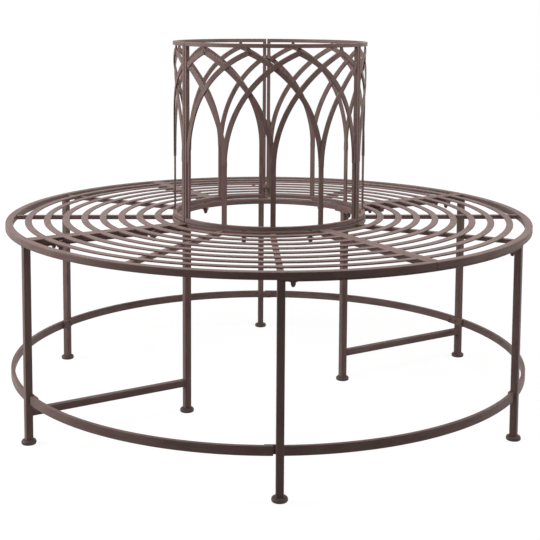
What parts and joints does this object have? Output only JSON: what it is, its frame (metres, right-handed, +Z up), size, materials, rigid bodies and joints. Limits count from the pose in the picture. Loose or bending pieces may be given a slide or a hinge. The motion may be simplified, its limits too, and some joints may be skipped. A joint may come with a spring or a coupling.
{
  "type": "tree bench",
  "caption": "Ring-shaped slatted metal bench that stands about a tree trunk, with a round lattice backrest of pointed arches and slim legs tied by a low hoop.",
  "frame": {"origin": "on the floor, in the middle of the ring", "axes": "+Z up, -Y to the leg that faces the picture's viewer, +X to that viewer's right"},
  "size_m": [1.25, 1.2642, 0.8715],
  "materials": {
    "brown_coat": "brown-bronze powder coat with a fine texture and a satin sheen",
    "foot_glide": "moulded brown plastic, matte"
  },
  "bodies": {
    "root": {"back_lattice_back_left": "brown_coat", "back_lattice_back_right": "brown_coat", "back_lattice_front": "brown_coat", "back_low_rail_back_left": "brown_coat", "back_low_rail_back_right": "brown_coat", "back_low_rail_front": "brown_coat", "back_tie_plate_back": "brown_coat", "back_tie_plate_left": "brown_coat", "back_tie_plate_right": "brown_coat", "back_top_rail_back_left": "brown_coat", "back_top_rail_back_right": "brown_coat", "back_top_rail_front": "brown_coat", "crossbar_left": "brown_coat", "crossbar_right": "brown_coat", "foot_inner_leg_left": "foot_glide", "foot_inner_leg_right": "foot_glide", "foot_outer_leg_left": "foot_glide", "foot_outer_leg_right": "foot_glide", "foot_rim_leg_back_left": "foot_glide", "foot_rim_leg_back_middle": "foot_glide", "foot_rim_leg_front_middle": "foot_glide", "foot_rim_leg_front_right": "foot_glide", "hoop_bolted_left_back": "brown_coat", "hoop_bolted_left_front": "brown_coat", "hoop_bolted_right_back": "brown_coat", "hoop_bolted_right_front": "brown_coat", "hoop_splice_back": "brown_coat", "hoop_splice_front": "brown_coat", "hoop_splice_left": "brown_coat", "hoop_splice_left_back": "brown_coat", "hoop_splice_right": "brown_coat", "hoop_splice_right_front": "brown_coat", "hoop_welded_back": "brown_coat", "hoop_welded_front": "brown_coat", "inner_leg_left": "brown_coat", "inner_leg_right": "brown_coat", "outer_leg_left": "brown_coat", "outer_leg_right": "brown_coat", "rim_bar_back": "brown_coat", "rim_bar_front": "brown_coat", "rim_leg_back_left": "brown_coat", "rim_leg_back_middle": "brown_coat", "rim_leg_front_middle": "brown_coat", "rim_leg_front_right": "brown_coat", "seat_grid_back_left": "brown_coat", "seat_grid_back_right": "brown_coat", "seat_grid_front_left": "brown_coat", "seat_grid_front_right": "brown_coat", "seat_inner_ring_back_left": "brown_coat", "seat_inner_ring_back_right": "brown_coat", "seat_inner_ring_front_left": "brown_coat", "seat_inner_ring_front_right": "brown_coat", "seat_rim_back_left": "brown_coat", "seat_rim_back_right": "brown_coat", "seat_rim_front_left": "brown_coat", "seat_rim_front_right": "brown_coat", "top_bar_left": "brown_coat", "top_bar_right": "brown_coat"}
  },
  "joints": []
}
